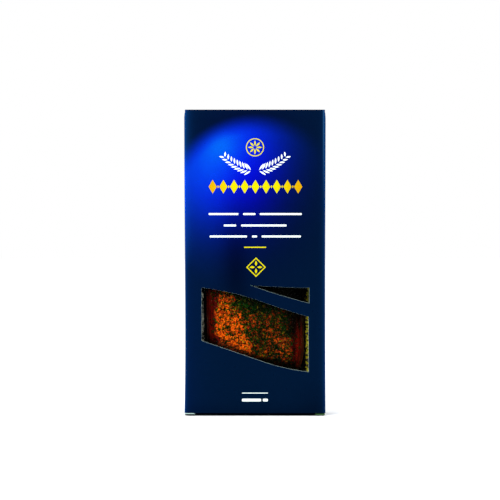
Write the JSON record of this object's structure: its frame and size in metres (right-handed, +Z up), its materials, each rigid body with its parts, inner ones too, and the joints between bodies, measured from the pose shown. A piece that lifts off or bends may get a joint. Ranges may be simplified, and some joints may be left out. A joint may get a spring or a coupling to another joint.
{
  "type": "salmon loin with dill in a windowed carton",
  "caption": "Shut navy folding carton with die-cut windows that show a vacuum-packed salmon loin with chopped dill on a gilt card.",
  "frame": {"origin": "middle of the carton's base, on the surface that it stands on", "axes": "+Z up along the carton's height, -Y out of the front panel with the windows, +X to the right as the front is seen"},
  "size_m": [0.0964, 0.0314, 0.2094],
  "materials": {
    "carton": "metallic navy print on coated folding board, white board inside and at the cut edges",
    "gilt_card": "gilt laminate on board",
    "salmon_loin": "moist cured salmon flesh with chopped dill",
    "vacuum_film": "clear glossy vacuum film"
  },
  "bodies": {
    "root": {"carton": "carton", "gilt_card": "gilt_card", "salmon_loin": "salmon_loin", "vacuum_film": "vacuum_film"}
  },
  "joints": []
}
